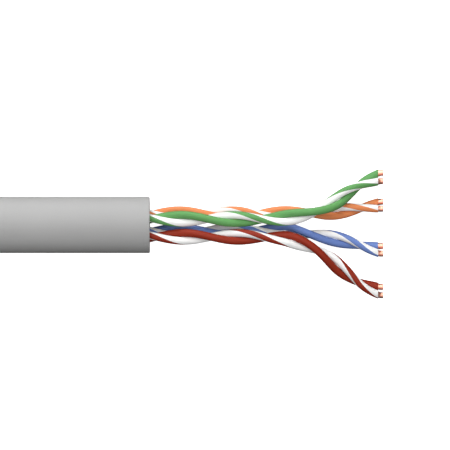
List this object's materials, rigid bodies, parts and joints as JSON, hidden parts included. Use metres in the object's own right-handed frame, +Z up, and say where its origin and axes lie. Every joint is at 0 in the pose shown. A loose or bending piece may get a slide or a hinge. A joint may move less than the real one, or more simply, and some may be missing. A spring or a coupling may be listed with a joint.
{
  "type": "network cable end",
  "caption": "Stripped end of a round grey network cable: colour-coded twisted pairs leave the cut jacket, fan out and end in bare copper tips.",
  "frame": {"origin": "on the jacket's axis, in the plane where the jacket was cut back and the pairs come out", "axes": "+X along the cable from the jacket to the bare tips, +Z up from the surface that the cable lies on, +Y across"},
  "size_m": [0.07, 0.0121, 0.0052],
  "materials": {
    "jacket": "smooth grey PVC",
    "insulation_orange": "orange polyethylene",
    "insulation_white_orange": "white polyethylene with a wide orange stripe",
    "insulation_green": "green polyethylene",
    "insulation_white_green": "white polyethylene with a wide green stripe",
    "insulation_blue": "blue polyethylene",
    "insulation_white_blue": "white polyethylene with a wide blue stripe",
    "insulation_brown": "brown polyethylene",
    "insulation_white_brown": "white polyethylene with a wide brown stripe",
    "conductor": "bare copper"
  },
  "bodies": {
    "root": {"jacket": "jacket", "insulation_orange": "insulation_orange", "insulation_white_orange": "insulation_white_orange", "insulation_green": "insulation_green", "insulation_white_green": "insulation_white_green", "insulation_blue": "insulation_blue", "insulation_white_blue": "insulation_white_blue", "insulation_brown": "insulation_brown", "insulation_white_brown": "insulation_white_brown", "conductor_orange": "conductor", "conductor_white_orange": "conductor", "conductor_green": "conductor", "conductor_white_green": "conductor", "conductor_blue": "conductor", "conductor_white_blue": "conductor", "conductor_brown": "conductor", "conductor_white_brown": "conductor"}
  },
  "joints": []
}
